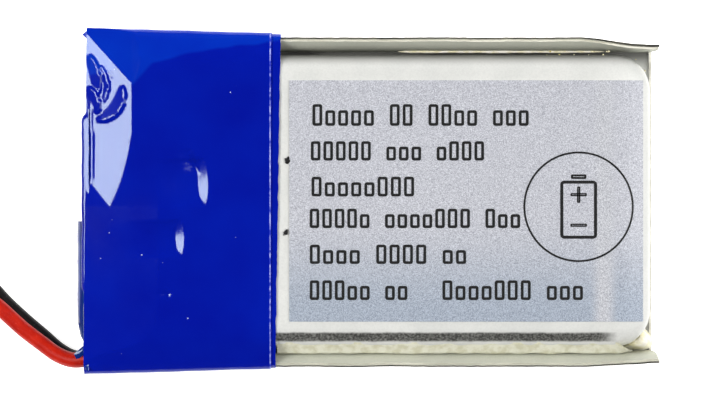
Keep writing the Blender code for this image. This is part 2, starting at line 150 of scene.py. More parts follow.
def sharpen_borders(data):
    """The outline of an open sheet stays sharp once the sheet is thick."""
    shape = bmesh.new()
    shape.from_mesh(data)
    for edge in shape.edges:
        edge.smooth = edge.smooth and not edge.is_boundary
    shape.to_mesh(data)
    shape.free()


def mesh_piece(name, points, faces, finish, nodes=(), angle=35):
    """A piece from points in millimetres; it rides on the cell's body and stands for the CAD nodes."""
    data = bpy.data.meshes.new(name)
    data.from_pydata([Vector(point) * MM for point in points], [], faces)
    face_outwards(data)
    data.shade_smooth()
    data.set_sharp_from_angle(angle=radians(angle))
    sharpen_borders(data)
    made = link(bpy.data.objects.new(name, data))
    for one in finish if isinstance(finish, (list, tuple)) else [finish]:
        data.materials.append(one)
    settle(made, nodes)
    return made


def settle(made, nodes=()):
    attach(made, BODY)
    if nodes:
        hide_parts(*nodes)


def grid_faces(rows, columns, closed=False, first=0):
    """Quads between rows of points; closed joins each row's last point to its first."""
    spans = columns if closed else columns - 1
    return [(first + r * columns + c, first + r * columns + (c + 1) % columns,
             first + (r + 1) * columns + (c + 1) % columns, first + (r + 1) * columns + c)
            for r in range(rows - 1) for c in range(spans)]


def closed_faces(rings, sides, first=0):
    """A tube of rings with a cap on each end."""
    faces = grid_faces(rings, sides, closed=True, first=first)
    faces.append(tuple(first + i for i in reversed(range(sides))))
    faces.append(tuple(first + (rings - 1) * sides + i for i in range(sides)))
    return faces


def sheet_piece(name, points, faces, finish, nodes=(), thickness=FILM, rim=1, angle=60):
    """A piece made of a thin sheet; rim is the step from its finish to that of its edge."""
    made = mesh_piece(name, points, faces, finish, nodes, angle)
    solid = made.modifiers.new("thickness", "SOLIDIFY")
    solid.thickness = thickness * MM
    solid.offset = 0.0
    solid.use_even_offset = True
    solid.material_offset_rim = rim
    return made


# ---- materials

ALONG, ACROSS = (1.0, 0.0, 0.0), (0.0, 1.0, 0.0)
FAR = 40.0  # past every piece


class Nodes:
    """A short way to write a material's node tree."""

    def __init__(self, name):
        self.material = bpy.data.materials.new(name)
        self.material.use_nodes = True
        self.tree = self.material.node_tree
        self.shader = self.tree.nodes["Principled BSDF"]
        self.where = self.tree.nodes.new("ShaderNodeTexCoord").outputs["Object"]

    def set(self, **values):
        for key, value in values.items():
            socket = self.shader.inputs[key.replace("_", " ")]
            socket.default_value = (*value, 1.0) if isinstance(value, tuple) else value

    def node(self, kind, **values):
        made = self.tree.nodes.new(kind)
        for key, value in values.items():
            setattr(made, key, value)
        return made

    def join(self, source, target):
        self.tree.links.new(source, target)

    def scaled(self, size, stretch):
        """The place on the piece, in lumps of about size millimetres."""
        mapping = self.node("ShaderNodeMapping")
        mapping.inputs["Scale"].default_value = [1 / (size * MM * s) for s in stretch]
        self.join(self.where, mapping.inputs["Vector"])
        return mapping.outputs["Vector"]

    def grain(self, size, detail=3.0, roughness=0.55, stretch=(1, 1, 1)):
        """Noise whose lumps are about size millimetres."""
        made = self.node("ShaderNodeTexNoise", noise_type="FBM")
        made.inputs["Scale"].default_value = 1.0
        made.inputs["Detail"].default_value = detail
        made.inputs["Roughness"].default_value = roughness
        self.join(self.scaled(size, stretch), made.inputs["Vector"])
        return made.outputs["Fac"]

    def cells(self, size):
        """The distance to the nearest of scattered points, about size millimetres apart."""
        made = self.node("ShaderNodeTexVoronoi")
        made.inputs["Scale"].default_value = 1.0
        self.join(self.scaled(size, (1, 1, 1)), made.inputs["Vector"])
        return made.outputs["Distance"]

    def blend(self, factor, *stops):
        """A colour ramp; stops are (position, colour or level of grey)."""
        made = self.node("ShaderNodeValToRGB")
        ramp = made.color_ramp
        while len(ramp.elements) < len(stops):
            ramp.elements.new(0.5)
        for element, (position, colour) in zip(ramp.elements, stops):
            element.position = position
            element.color = (*(colour if isinstance(colour, tuple) else (colour,) * 3), 1.0)
        self.join(factor, made.inputs["Fac"])
        return made.outputs["Color"]

    def mix(self, factor, first, second, kind="MIX"):
        """First and second blended by a factor; each is a socket, a colour or a number."""
        made = self.node("ShaderNodeMix", data_type="RGBA", blend_type=kind)
        for socket, value in (("Factor", factor), ("A", first), ("B", second)):
            target = next(s for s in made.inputs if s.name == socket and s.enabled)
            if isinstance(value, bpy.types.NodeSocket):
                self.join(value, target)
            elif isinstance(value, tuple):
                target.default_value = (*value, 1.0)
            else:
                target.default_value = value
        return next(s for s in made.outputs if s.name == "Result" and s.enabled)

    def band(self, direction, low, high, softness, wander=None):
        """1 between two places along a direction and 0 past them; wander is (size, distance)."""
        turned = self.node("ShaderNodeVectorMath", operation="DOT_PRODUCT")
        self.join(self.where, turned.inputs[0])
        turned.inputs[1].default_value = direction
        place = turned.outputs["Value"]
        if wander:
            shift = self.node("ShaderNodeMath", operation="MULTIPLY_ADD")
            self.join(self.grain(wander[0], detail=2.0), shift.inputs[0])
            shift.inputs[1].default_value = wander[1] * MM
            self.join(place, shift.inputs[2])
            place = shift.outputs["Value"]
        both = self.node("ShaderNodeMath", operation="MULTIPLY")
        for socket, edge, start in ((0, low, 0.0), (1, high, 1.0)):
            step = self.node("ShaderNodeMapRange", interpolation_type="SMOOTHSTEP")
            step.inputs["From Min"].default_value = (edge - softness) * MM
            step.inputs["From Max"].default_value = (edge + softness) * MM
            step.inputs["To Min"].default_value = start
            step.inputs["To Max"].default_value = 1.0 - start
            self.join(place, step.inputs["Value"])
            self.join(step.outputs["Result"], both.inputs[socket])
        return both.outputs["Value"]

    def colour(self, source):
        self.join(source, self.shader.inputs["Base Color"])

    def rough(self, source):
        self.join(source, self.shader.inputs["Roughness"])

    def bump(self, source, height, after=None):
        """Bumps of a height in millimetres, on top of those made before, if any."""
        made = self.node("ShaderNodeBump")
        made.inputs["Distance"].default_value = height * MM
        made.inputs["Strength"].default_value = 1.0
        self.join(source, made.inputs["Height"])
        if after is not None:
            self.join(after, made.inputs["Normal"])
        self.join(made.outputs["Normal"], self.shader.inputs["Normal"])
        return made.outputs["Normal"]


def tape_material(name="tape_blue", dark=(0.0, 0.0050, 0.300), light=(0.0, 0.0085, 0.345)):
    """Glossy film, with a painted sheen on its upper shoulder and upper-left corner, a painted highlight
    along the outer wrap's cut edge, and specks of dust.
    """
    n = Nodes(name)
    n.set(Roughness=0.09, IOR=1.45, Specular_Tint=(0.86, 1.0, 1.0), Specular_IOR_Level=0.40)
    broad = n.grain(3.5, detail=2.0)
    fine = n.grain(0.07, detail=2.0)
    plain = n.blend(broad, (0.30, dark), (0.66, light))
    painted_sheen = n.blend(broad, (0.30, (0.0, 0.0170, 0.390)), (0.66, (0.0, 0.0260, 0.430)))
    # painted sheen: a lighter blue, placed by position, stands in for light reflected on the wrap's upper
    # shoulder and upper-left corner
    film = n.mix(n.band((-0.168, 1.0, 0.0), 9.66, FAR, 0.10, wander=(3.6, 1.1)), plain, painted_sheen)
    corner = n.mix(n.band((1.22, 1.0, 0.0), -8.94, FAR, 0.06), film, painted_sheen)
    film = n.mix(n.band((-1.13, 1.0, 0.0), 19.76, FAR, 0.18), film, corner)
    # painted highlight: a pale, dotted line along the outer wrap's cut edge, where the edge catches the
    # light
    cut = n.blend(n.grain(0.30, detail=2.0), (0.38, (0.03, 0.05, 0.52)), (0.62, (0.42, 0.45, 0.92)))
    film = n.mix(n.band(ALONG, -5.135, -5.075, 0.012), film, cut)
    dust = n.blend(n.cells(1.15), (0.020, 1.0), (0.034, 0.0))
    n.colour(n.mix(dust, film, (0.70, 0.78, 0.95)))
    n.rough(n.blend(fine, (0.35, 0.08), (0.70, 0.20)))
    n.bump(fine, 0.0012, after=n.bump(n.grain(0.45, detail=2.0), 0.0025))
    return n.material


def tape_edge_material():
    n = Nodes("tape_edge")
    n.set(Roughness=0.35)
    n.colour(n.blend(n.grain(0.35, detail=3.0), (0.42, (0.05, 0.12, 0.60)), (0.62, (0.55, 0.66, 0.95))))
    return n.material


def foil_material(name="foil_laminate", tone=(1.0, 1.0, 1.0), shaded=False):
    """Foil laminate; shaded adds painted shade: a speckled dark band along the cup's lower long shoulder,
    and a much darker upper wall and web.
    """
    n = Nodes(name)
    n.set(Metallic=0.14)
    fine = n.grain(0.10, detail=2.0, roughness=0.7)
    cloud = n.grain(2.6, detail=3.0)
    tint = n.blend(cloud, (0.35, (0.70, 0.705, 0.675)), (0.70, (0.78, 0.78, 0.745)))
    body = n.mix(0.16, tint, n.blend(fine, (0.36, 0.55), (0.60, 0.95)), "MULTIPLY")
    body = n.mix(1.0, body, tone, "MULTIPLY")
    if shaded:
        # painted shade: a speckled dark band along the lower shoulder, short of the folded end
        speck = n.blend(n.grain(0.12, detail=2.0), (0.40, (0.06, 0.06, 0.057)), (0.74, (0.34, 0.34, 0.33)))
        run = n.mix(n.band(ACROSS, -7.20, -6.74, 0.07, wander=(0.6, 0.10)), (1.0, 1.0, 1.0), speck)
        run = n.mix(n.band(ALONG, -FAR, 12.7, 0.6, wander=(0.4, 0.5)), (1.0, 1.0, 1.0), run)
        body = n.mix(1.0, body, run, "MULTIPLY")
        # painted shade: darkens the upper wall and the web beside it
        body = n.mix(n.band(ACROSS, 7.25, FAR, 0.35), body, (0.20, 0.20, 0.19), "MULTIPLY")
    n.colour(body)
    n.rough(n.blend(fine, (0.35, 0.42), (0.70, 0.60)))
    n.bump(fine, 0.0025, after=n.bump(n.grain(0.9, detail=2.0), 0.006))
    return n.material


def foil_edge_material(name, dark, light):
    n = Nodes(name)
    n.set(Roughness=0.6)
    n.colour(n.blend(n.grain(0.5, detail=3.0, stretch=(3, 1, 1)), (0.38, dark), (0.68, light)))
    return n.material


def label_material():
    n = Nodes("label_paper")
    n.set(Metallic=0.12)
    grain = n.grain(0.050, detail=2.0, roughness=0.8)
    coarse = n.grain(0.13, detail=2.0, roughness=0.6)
    speck = n.mix(0.30, n.blend(grain, (0.38, (0.24, 0.245, 0.29)), (0.63, (0.80, 0.81, 0.85))),
                  n.blend(coarse, (0.38, (0.34, 0.35, 0.41)), (0.62, (0.62, 0.63, 0.69))))
    # painted shade darkens the label towards its lower side; a painted highlight lightens the band where it
    # bends over the shoulder
    shade = n.mix(n.band(ACROSS, -9.0, -3.4, 2.6), (1.0, 1.0, 1.0), (0.70, 0.78, 0.85))
    light = n.mix(n.band(ALONG, 11.65, 12.55, 0.35), shade, (1.03, 1.03, 1.01))
    n.colour(n.mix(1.0, speck, light, "MULTIPLY"))
    n.rough(n.blend(grain, (0.35, 0.50), (0.70, 0.66)))
    n.bump(grain, 0.003)
    return n.material


def ink_material():
    n = Nodes("ink_black")
    n.set(Roughness=0.55, Specular_IOR_Level=0.25)
    grain = n.grain(0.06, detail=2.0)
    n.colour(n.blend(grain, (0.45, (0.006, 0.006, 0.006)), (0.80, (0.035, 0.034, 0.036))))
    return n.material


def lead_material(name, deep, bright, roughness):
    n = Nodes(name)
    n.set(Roughness=roughness, Specular_IOR_Level=0.22)
    scuff = n.blend(n.grain(0.10, detail=3.0, roughness=0.7), (0.60, 0.0), (0.74, 0.30))
    body = n.blend(n.grain(0.7, detail=4.0), (0.35, deep), (0.68, bright))
    n.colour(n.mix(scuff, body, tuple(min(1.0, 0.18 + channel) for channel in bright)))
    n.bump(n.grain(0.09, detail=3.0), 0.006)
    return n.material


def glue_material(name="seal_glue", dark=(0.78, 0.73, 0.48), light=(0.93, 0.90, 0.80)):
    n = Nodes(name)
    n.set(Roughness=0.30, IOR=1.46)
    n.colour(n.blend(n.grain(0.45, detail=3.0), (0.38, dark), (0.58, light)))
    n.bump(n.grain(0.25, detail=2.0), 0.02)
    return n.material


def plain_material(name, dark, light, size, roughness, metallic=0.0, height=0.002, stretch=(1, 1, 1)):
    """A lightly grained finish for the board, its parts, the tabs and the plug."""
    n = Nodes(name)
    n.set(Metallic=metallic)
    grain = n.grain(size, detail=3.0, stretch=stretch)
    n.colour(n.blend(grain, (0.35, dark), (0.68, light)))
    n.rough(n.blend(grain, (0.35, roughness * 0.85), (0.68, min(1.0, roughness * 1.2))))
    n.bump(grain, height)
    return n.material


# ---- pouch

def rounded_rectangle(left, right, half, radius, straight=60, arc=14):
    """An outline, counter-clockwise from the lower right corner, with points all along its sides."""
    points = []
    corners = ((right - radius, -half + radius, -90), (right - radius, half - radius, 0),
               (left + radius, half - radius, 90), (left + radius, -half + radius, 180))
    for number, (x, y, start) in enumerate(corners):
        points += [around(x, y, radius, radians(start + 90 * i / arc)) for i in range(arc + 1)]
        end = around(*corners[(number + 1) % 4][:2], radius, radians(start + 90))
        last = points[-1]
        steps = straight if number % 2 else straight // 3
        for i in range(1, steps):
            t = i / steps
            points.append((last[0] + (end[0] - last[0]) * t, last[1] + (end[1] - last[1]) * t))
    return points


def seal_edge(x, side):
    """How the top edge of a folded seal leans out and waves along the cell."""
    towards_end = clamp((x - TUCK_START) / (CUP_RIGHT - TUCK_START))
    tuck = (0.38 if side > 0 else 0.16) * smoothstep(0.0, 1.0, towards_end)
    wave = 0.035 * ripple(x, side * 5, 2.4) + 0.012 * ripple(x, side * 9, 0.5)
    lift = 0.05 * smoothstep(0.75, 1.0, towards_end) if side < 0 else 0.0
    return SEAL_LEAN + (0.13 if side < 0 else 0.0) - tuck + wave - lift, towards_end


def face_rings(outer, count=26):
    """Rings across the cup's flat top, from near its middle out to its edge."""
    middle_x = (outer[0][0] + min(x for x, y, z in outer)) / 2
    made = []
    for i in range(1, count):
        share = i / count
        made.append([(middle_x + (x - middle_x) * share, y * share, z) for x, y, z in outer])
    return made


def web_point(x, y):
    """Where the flat web ends, straight out from a point of the cup's rounded wall."""
    centre_x = clamp(x, CUP_LEFT + CORNER, CUP_RIGHT - CORNER)
    centre_y = clamp(y, CORNER - CUP_HALF, CUP_HALF - CORNER)
    out_x, out_y = x - centre_x, y - centre_y
    room_x = FOLD_END - centre_x if out_x > 0 else centre_x - LEDGE_LEFT
    room_y = WEB_HALF - abs(centre_y)
    reach = min(room_x / max(abs(out_x), 1e-6), room_y / max(abs(out_y), 1e-6))
    return centre_x + out_x * reach, centre_y + out_y * reach, RIM_HEIGHT


def pouch_cup_skin(foil, edge):
    """The drawn half: flat face, rounded shoulders, walls and the flat web round them."""
    points, rings = [], []
    steps = 12
    for i in range(steps + 1):
        angle = radians(90 - 90 * i / steps)
        inset = 1 - cos(angle)
        ring = rounded_rectangle(CUP_LEFT + END_SHOULDER * inset, CUP_RIGHT - END_SHOULDER * inset,
                                 CUP_HALF - SHOULDER * inset, CORNER - 0.9 * SHOULDER * inset)
        height = CUP_TOP - SHOULDER * (1 - sin(angle))
        rings.append([(x, y, height) for x, y in ring])
    rings = face_rings(rings[0]) + rings
    wall = rounded_rectangle(CUP_LEFT, CUP_RIGHT, CUP_HALF, CORNER)
    for height in (1.7, 1.25, 0.85, RIM_HEIGHT):
        rings.append([(x, y, height) for x, y in wall])
    count = len(wall)
    for ring in rings:
        for x, y, z in ring:
            depth = clamp((CUP_TOP - z) / (CUP_TOP - RIM_HEIGHT))
            z += min(0.0, relief(x, y)) if x < WRAP_HIGH.x else 0.0
            dent = 0.05 * depth * ripple(x + y, z, 1.3, 4.0) + 0.02 * ripple(x, y, 0.6, 2.0) * depth
            corner = smoothstep(11.6, 14.0, x) * smoothstep(5.2, 7.2, abs(y)) * sin(pi * depth)
            crease = 0.07 * corner * ripple(atan2(abs(y) - 5.6, x - 12.5) * 2.2, depth, 0.35, 7.0)
            inward = dent + crease
            length = max(1e-6, hypot(x, y))
            points.append((x - inward * x / length, y - inward * y / length, z))
    faces = grid_faces(len(rings), count, closed=True)
    faces.append(tuple(range(count)))
    first = len(points)
    points += [web_point(x, y) for x, y in wall]
    last_ring = (len(rings) - 1) * count
    faces += [(last_ring + i, last_ring + (i + 1) % count, first + (i + 1) % count, first + i)
              for i in range(count)]
    sheet_piece("pouch_cup_skin", points, faces, [foil, edge], ["pouch_cup"], LAMINATE, rim=0)


def folded_seal(name, side, base_half, base_z, foil, edge, right):
    """One sheet of a side seal, folded up along the cell; its points run up from the fold line."""
    points, count, rows = [], 180, 12
    for i in range(count):
        x = SEAL_LEFT + (right - SEAL_LEFT) * i / (count - 1)
        lean, towards_end = seal_edge(x, side)
        column = []
        for r in range(1, rows + 1):
            t = r / rows
            crimp = 0.012 * ripple(x, t * 3, 0.30, side)
            out = base_half + lean * (0.14 * t + 0.86 * t ** 5) + crimp
            reach = 0.42 * towards_end ** 5 * t
            notch = 0.03 * ripple(x, side * 7, 0.7) * (r == rows)
            column.append((x + reach, side * out, base_z + (SEAL_TOP - base_z) * t + notch))
        points += [(column[0][0], side * (base_half - 0.02), base_z), *column]
    faces = grid_faces(count, rows + 1)
    return sheet_piece(name, points, faces, [foil, edge], thickness=LAMINATE)


def pouch_cover_skin(foil, edge):
    """The flat half below, curving up at the folded end to meet the cup."""
    bottom = node_box("pouch_cover")[0].z + LAMINATE / 2
    rows = []
    for i in range(91):
        x = LEDGE_LEFT + (FOLD_START - LEDGE_LEFT) * i / 90
        rows.append((x, bottom + 0.12 * smoothstep(-4.1, -4.6, x)))
    for i in range(1, 9):
        angle = radians(90 * i / 8)
        rise = FOLD_RADIUS * (1 - cos(angle))
        rows.append((FOLD_START + FOLD_RADIUS * sin(angle), bottom + rise))
    count = 61
    points = []
    for x, z in rows:
        for i in range(count):
            y = COVER_HALF * (2 * i / (count - 1) - 1)
            sag = 0.0
            if z <= bottom + 1e-4:
                sag = 0.02 * (1 + ripple(x, y, 4.0)) * smoothstep(COVER_HALF, COVER_HALF - 1.5, abs(y))
            points.append((x, y, z + sag))
    faces = grid_faces(len(rows), count)
    sheet_piece("pouch_cover_skin", points, faces, [foil, edge], ["pouch_cover"], LAMINATE)


def pouch(foil):
    light_edge = foil_edge_material("laminate_edge_light", (0.62, 0.60, 0.50), (0.90, 0.88, 0.78))
    dark_edge = foil_edge_material("laminate_edge_dark", (0.015, 0.014, 0.010), (0.10, 0.09, 0.07))
    seal_foil = foil_material("seal_foil", (0.78, 0.79, 0.70))
    pouch_cup_skin(foil_material("cup_foil", shaded=True), light_edge)
    pouch_cover_skin(foil, light_edge)
    for side, name in ((1, "upper"), (-1, "lower")):
        inner = folded_seal(f"seal_{name}_inner", side, WEB_HALF, RIM_HEIGHT, seal_foil, light_edge,
                            FOLD_END - 0.05)
        outer = folded_seal(f"seal_{name}_outer", side, COVER_HALF, 0.10, seal_foil, dark_edge, FOLD_END)
        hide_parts("pouch_cup")
        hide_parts("pouch_cover")


# ---- floor, light and camera

def floor():
    n = Nodes("floor_white")
    n.set(Roughness=0.9, Specular_IOR_Level=0.1)
    n.colour(n.blend(n.grain(14.0, detail=1.0), (0.3, (0.90, 0.90, 0.89)), (0.7, (0.93, 0.93, 0.92))))
    n.set(Emission_Color=(1.0, 0.995, 0.98), Emission_Strength=0.90)
    data = bpy.data.meshes.new("floor")
    reach = 2.0
    corners = [(-reach, -reach, 0), (reach, -reach, 0), (reach, reach, 0), (-reach, reach, 0)]
    data.from_pydata(corners, [], [(0, 1, 2, 3)])
    made = link(bpy.data.objects.new("floor", data))
    made.location.z = -0.02 * MM
    data.materials.append(n.material)


def soft_light(name, azimuth, tilt, distance, size, radiance, size_y=None):
    """An area light; tilt is from straight up, azimuth from +X towards +Y; radiance sets its power."""
    data = bpy.data.lights.new(name, "AREA")
    data.shape = "RECTANGLE"
    data.size, data.size_y = size, size_y or size
    data.energy = radiance * pi * data.size * data.size_y
    made = link(bpy.data.objects.new(name, data))
    a, t = radians(azimuth), radians(tilt)
    direction = Vector((cos(a) * sin(t), sin(a) * sin(t), cos(t)))
    made.location = direction * distance
    made.rotation_mode = "QUATERNION"
    made.rotation_quaternion = direction.to_track_quat("Z", "Y")
    return made


def lights():
    soft_light("softbox_left", 174, 47, 0.45, 0.14, 20.0, size_y=0.19)
    soft_light("softbox_right", 4, 52, 0.45, 0.30, 4.6, size_y=0.36)
    soft_light("softbox_above", 12, 26, 0.60, 0.20, 2.0)
    for name, azimuth, radiance in (("strip_back", 90, 1.5), ("strip_front", -90, 0.5)):
        made = soft_light(name, azimuth, 76, 0.50, 0.80, radiance, size_y=0.26)
        made.visible_glossy = False
    world = bpy.data.worlds.new("studio")
    world.use_nodes = True
    world.node_tree.nodes["Background"].inputs["Color"].default_value = (1.0, 0.995, 0.985, 1.0)
    world.node_tree.nodes["Background"].inputs["Strength"].default_value = 0.07
    bpy.context.scene.world = world


def camera():
    data = bpy.data.cameras.new("camera")
    data.sensor_width = 36.0
    data.lens = data.sensor_width * CAMERA_HEIGHT / VIEW_WIDTH
    data.clip_start, data.clip_end = 0.01, 20.0
    made = link(bpy.data.objects.new("camera", data))
    made.location = Vector((VIEW_CENTRE.x, VIEW_CENTRE.y, LABEL_HIGH.z + CAMERA_HEIGHT)) * MM
    bpy.context.scene.camera = made
    bpy.context.scene.view_settings.view_transform = "Standard"


# ---- tape

WRAP_HALF_SECTION = ((0.0, 0.025), (7.6, 0.025), (8.10, 0.03), (8.32, 0.16), (8.55, 0.75), (8.85, 1.60),
                     (8.93, 2.20), (8.62, 2.52), (8.15, 2.74), (7.35, 3.05), (6.40, 3.165), (0.0, 3.185))


def section_curve(count):
    """Half the wrap's section, from the middle of its underside round to the middle of its top."""
    points = [Vector(p) for p in WRAP_HALF_SECTION]
    fine = []
    for i in range(len(points) - 1):
        a, b = points[max(i - 1, 0)], points[i]
        c, d = points[i + 1], points[min(i + 2, len(points) - 1)]
        short = (c - b).length
        first = (c - a) * 0.5 * min(1.0, short / max((b - a).length, 1e-6)) if i else (c - b) * 0.5
        last = (d - b) * 0.5 * min(1.0, short / max((d - c).length, 1e-6)) if c != d else (c - b) * 0.5
        for k in range(24):
            t = k / 24
            fine.append(b * (2 * t ** 3 - 3 * t ** 2 + 1) + first * (t ** 3 - 2 * t ** 2 + t)
                        + c * (-2 * t ** 3 + 3 * t ** 2) + last * (t ** 3 - t ** 2))
    fine.append(points[-1])
    lengths = [0.0]
    for a, b in zip(fine, fine[1:]):
        lengths.append(lengths[-1] + (b - a).length)
    picked, place = [], 0
    for i in range(count):
        want = lengths[-1] * i / (count - 1)
        while place < len(lengths) - 2 and lengths[place + 1] < want:
            place += 1
        part = (want - lengths[place]) / max(1e-9, lengths[place + 1] - lengths[place])
        picked.append(fine[place].lerp(fine[place + 1], part))
    return picked


WRAP_TOP = 3.185
HALF_SECTION_LENGTH = 21.5
FACET_EDGE = -12.2  # the roof folds down here, on the side away from the leads
FACET_SLOPE = 0.435
FACET_TIP = Vector((-13.36, -0.30))
FACET_TOP = 3.55  # where the fold stops running straight across
CORNER_Y = 6.03  # where the fold turns towards the corner
CORNER_RUN = 1.107
CORNER_SLOPE = 0.29
LOW_START, LOW_SLOPE = -10.8, 0.20


def roof_drop(x, y):
    """How far the wrap's roof falls towards the open end: a facet on one side, a gentle slope beside it."""
    past = FACET_EDGE - x
    corner = max(0.0, y - CORNER_Y - CORNER_RUN * max(0.0, past)) * smoothstep(-1.8, 0.2, past)
    facet = FACET_SLOPE * past + CORNER_SLOPE * corner
    share = clamp((FACET_TOP - y) / (FACET_TOP - FACET_TIP.y))
    low = LOW_SLOPE * (LOW_START - x) * share * (1 - 0.37 * smoothstep(-0.2, -6.0, y))
    tip_drop = FACET_SLOPE * (FACET_EDGE - FACET_TIP.x)
    beyond = tip_drop + LOW_SLOPE * (FACET_TIP.x - x) + 0.188 * (y - FACET_TIP.y)
    if y < FACET_TIP.y:
        beyond = tip_drop + LOW_SLOPE * (FACET_TIP.x - x)
        facet = low
    return max(0.0, min(max(facet, low), beyond))


# Steps in the tape that catch the light: place, half-widths, direction, height, run-out.
STEPS = (
    (-9.15, 2.32, 0.100, 0.38, 8, 0.087, 0.5),
    (-8.98, 2.04, 0.090, 0.38, 8, 0.078, 0.5),
    (-8.82, 1.78, 0.090, 0.36, 8, 0.078, 0.5),
    (-8.56, 0.98, 0.290, 1.25, 3, 0.250, 1.9),
    (-9.75, -1.92, 0.250, 0.95, 2, 0.217, 1.7),
    (-10.27, -4.82, 0.100, 0.20, 0, 0.087, 0.4),
)

# Dents that lean the facet out of the light: place, half-widths, direction, height, bend.
LUMPS = (
    (-13.10, 4.85, 0.34, 1.06, -37, 0.062, 0.77),
    (-13.60, 6.08, 0.16, 0.90, 6, 0.038, 1.10),
    (-14.19, 6.55, 0.28, 0.98, 13, 0.055, 0.10),
    (-14.24, 5.22, 0.29, 0.68, 20, 0.058, 0.0),
    (-13.38, 6.60, 0.07, 0.24, 25, 0.022, 0.0),
    (-14.40, 3.00, 0.12, 2.10, 1, 0.030, 0.0),
    (-12.45, 3.22, 0.04, 0.30, -68, 0.005, 0.0),
    (-12.62, 3.02, 0.04, 0.42, -62, 0.005, 0.0),
)


def local(x, y, middle_x, middle_y, across, along, turn):
    """Place x, y in the directions of a step or lump, in its half-widths across and along."""
    dx, dy = x - middle_x, y - middle_y
    angle = radians(turn)
    return ((dx * cos(angle) + dy * sin(angle)) / across,
            (-dx * sin(angle) + dy * cos(angle)) / along)


def relief(x, y):
    """Height at x, y of the steps, which only go down, and of the lumps."""
    total = 0.0
    for middle_x, middle_y, across, along, turn, height, run in STEPS:
        if abs(x - middle_x) < 3 * run and abs(y - middle_y) < 3 * along + 0.5:
            u, v = local(x, y, middle_x, middle_y, across, along, turn)
            width = max(1e-3, 1 - v * v) ** 0.6
            fade = exp(-(min(0.0, u + width) * across / run) ** 2)
            total -= height * width * clamp(0.5 - 0.5 * u / width) * fade
    for middle_x, middle_y, across, along, turn, height, bend in LUMPS:
        u, v = local(x, y, middle_x, middle_y, across, along, turn)
        u += bend * min(v * v, 2.0)
        total += height * (u + 1) * smoothstep(1.14, 0.96, hypot(u, v))
    return total


def wrap_point(x, y, z, side, inward):
    """A point of the wrap's section at x, with the roof's fall, its relief and a few soft waves."""
    narrow = 1.0 - 0.0031 * (x - WRAP_LOW.x) * smoothstep(5.0, 8.0, y)
    across = side * y * narrow
    share = smoothstep(1.2, 3.0, z)
    wave = 0.012 * ripple(x, across, 1.8, 3.0) * share
    wall = 0.04 * ripple(x, z * 1.4, 1.1, side * 6.0) * sin(pi * clamp(z / 2.6))
    height = min(z, WRAP_TOP - roof_drop(x, across)) if z > 1.5 else z
    height += relief(x, across) * smoothstep(1.9, 2.2, z) + wave - inward * share
    return x, across + side * (wall - inward * (1 - 0.7 * share)), max(height, 0.025 + inward * (1 - share))


def tape_wrap(name, node, left, right, inward, finish, edge, step):
    """A sleeve of tape; both its ends are a little ragged, and the inner one's cut runs askew."""
    half = section_curve(round(HALF_SECTION_LENGTH / step))
    loop = [(y, z, 1) for y, z in half] + [(y, z, -1) for y, z in reversed(half[1:-1])]
    count = round((right - left) / step)
    askew = 0.0016 if inward == 0 else 0.016
    points = []
    for i in range(count + 1):
        part = i / count
        for y, z, side in loop:
            across = side * y
            ragged = 0.0
            if i == count:
                ragged = 0.030 * ripple(across, z, 0.35, 50 * inward) + 0.012 * ripple(across, z, 0.09, 1.0)
            if i == 0:
                ragged = 0.03 * ripple(across, z, 0.8, 5.0)
            slant = askew * across * part + 0.007 * across * (1 - part)
            points.append(wrap_point(left + (right - left) * part + ragged + slant, y, z, side, inward))
    faces = grid_faces(count + 1, len(loop), closed=True)
    sheet_piece(name, points, faces, [finish, edge], [node], angle=50)


def tape_strip(name, path, low, high, finish, edge, nodes=(), pinch=0.0, seed=2.0):
    """A strip of tape: path is its section in x and z, and it runs from low to high across the cell."""
    points, count = [], 80
    for x, z in path:
        for i in range(count + 1):
            t = i / count
            y = low + (high - low) * t
            ends = smoothstep(0.0, 0.06, t) * smoothstep(1.0, 0.94, t)
            draw = 1 - pinch * (1 - ends)
            crease = 0.025 * ripple(y, z, 0.9, seed) + 0.010 * ripple(y, z, 0.25, seed)
            points.append((path[0][0] + (x - path[0][0]) * draw + crease * draw, y, z))
    faces = grid_faces(len(path), count + 1)
    sheet_piece(name, points, faces, [finish, edge], nodes)


def tape_patch(name, corners, finish, edge):
    """A small piece of tape between four corners, slightly domed."""
    low_left, low_right, high_right, high_left = (Vector(corner) for corner in corners)
    points = []
    for i in range(7):
        for j in range(7):
            u, v = i / 6, j / 6
            point = low_left.lerp(high_left, v).lerp(low_right.lerp(high_right, v), u)
            dome = sin(pi * u) * sin(pi * v)
            point.z += 0.05 * dome + 0.02 * ripple(u * 3, v * 3, 1, 3.0)
            points.append(point)
    sheet_piece(name, points, grid_faces(7, 7), [finish, edge])


